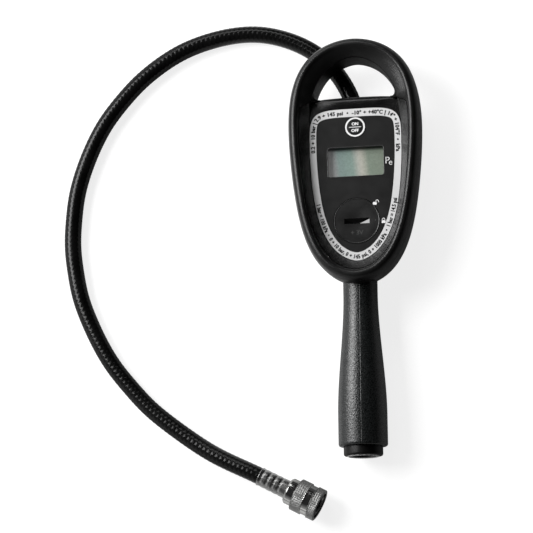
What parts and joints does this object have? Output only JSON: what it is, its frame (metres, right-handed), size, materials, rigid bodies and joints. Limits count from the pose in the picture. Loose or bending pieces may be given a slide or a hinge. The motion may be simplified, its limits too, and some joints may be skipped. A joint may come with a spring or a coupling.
{
  "type": "digital tire inflator",
  "caption": "Handheld digital tire inflator: LCD gauge head in a rubber bumper with a hanging loop, grip with lever valve, air hose and knurled locking chuck.",
  "frame": {"origin": "middle of the handset's footprint, on the table that it lies on", "axes": "+X to the right of the display, +Y from the grip to the hanging loop, +Z out of the display face"},
  "size_m": [0.233, 0.3177, 0.0368],
  "materials": {
    "bumper_rubber": "satin black rubber",
    "case_plastic": "smooth satin black",
    "panel_plastic": "satin black face plate",
    "ring_silver": "satin silver print",
    "clear_lens": "clear lens",
    "lcd": "unlit reflective display",
    "inner_plastic": "moulded",
    "connector_rubber": "striped elastomer",
    "board": "green laminate",
    "chip": "black moulded",
    "switch_plastic": "moulded",
    "screw_steel": "bright steel",
    "screw_brass": "plated",
    "cell_steel": "bright steel",
    "contact_brass": "spring bronze",
    "block_brass": "machined",
    "seal_rubber": "moulded seal",
    "lever_plastic": "fine grained black",
    "grip_plastic": "fine grained black",
    "tube_aluminium": "drawn tube",
    "fitting_nickel": "bright nickel plate",
    "hose_rubber": "black with a fine braid pattern"
  },
  "bodies": {
    "handset": {"bumper": "bumper_rubber", "front_case": "case_plastic", "rear_case": "case_plastic", "case_gasket": "seal_rubber", "case_screws": "screw_steel", "face_panel": "panel_plastic", "silver_ring": "ring_silver", "display_window": "clear_lens", "lcd_glass": "lcd", "lcd_holder": "inner_plastic", "lcd_connectors": "connector_rubber", "circuit_board": "board", "board_screws": "screw_brass", "controller_chip": "chip", "button_switch": "chip", "battery_holder": "inner_plastic", "coin_cell": "cell_steel", "battery_contacts": "contact_brass", "pressure_sensor": "screw_steel", "sensor_seal": "seal_rubber", "valve_block": "block_brass", "valve_cartridge": "block_brass", "stem_seal": "seal_rubber", "valve_spring": "screw_steel", "trigger_pin": "screw_steel", "handle_grip": "grip_plastic", "supply_tube": "tube_aluminium", "tube_seal": "seal_rubber", "inlet_fitting": "fitting_nickel", "inlet_filter": "contact_brass", "inlet_seal": "seal_rubber", "hose_fitting": "block_brass", "hose_collar": "fitting_nickel", "hose": "hose_rubber", "hose_ferrule": "fitting_nickel", "chuck_body": "fitting_nickel", "chuck_spring": "screw_steel", "chuck_seal": "seal_rubber", "chuck_pin": "block_brass", "chuck_collet": "block_brass", "retaining_ring": "screw_steel"},
    "power_button": {"button_cap": "panel_plastic", "switch_plunger": "switch_plastic"},
    "battery_door": {"battery_cap": "panel_plastic", "battery_cap_seal": "seal_rubber"},
    "finger_lever": {"trigger": "lever_plastic"},
    "inflate_valve": {"valve_stem": "screw_steel"},
    "locking_sleeve": {"chuck_sleeve": "fitting_nickel"}
  },
  "joints": [
    {"name": "button_press", "type": "slide", "parent": "handset", "child": "power_button", "axis": [0, 0, -1], "range_m": [0, 0.0008], "stiffness_N_per_m": 1500, "springref_m": -0.0004},
    {"name": "battery_cap_turn", "type": "hinge", "parent": "handset", "child": "battery_door", "pos_m": [0, 0.0144, 0.0235], "axis": [0, 0, 1], "range_deg": [0, 45]},
    {"name": "lever_squeeze", "type": "hinge", "parent": "handset", "child": "finger_lever", "pos_m": [0, 0.0085, 0.005], "axis": [-1, 0, 0], "range_deg": [0, 4], "stiffness_Nm_per_rad": 3, "springref_deg": -1.72},
    {"name": "valve_lift", "type": "slide", "parent": "handset", "child": "inflate_valve", "axis": [0, 0, 1], "range_m": [0, 0.0011], "deforming": ["valve_spring"]},
    {"name": "sleeve_pull", "type": "slide", "parent": "handset", "child": "locking_sleeve", "axis": [-0.8894, 0.4571, 0], "range_m": [0, 0.003], "stiffness_N_per_m": 800, "springref_m": -0.001, "deforming": ["chuck_spring"]}
  ],
  "couplings": [
    {"joint": "valve_lift", "follows": "lever_squeeze", "m_per_rad": 0.015}
  ]
}
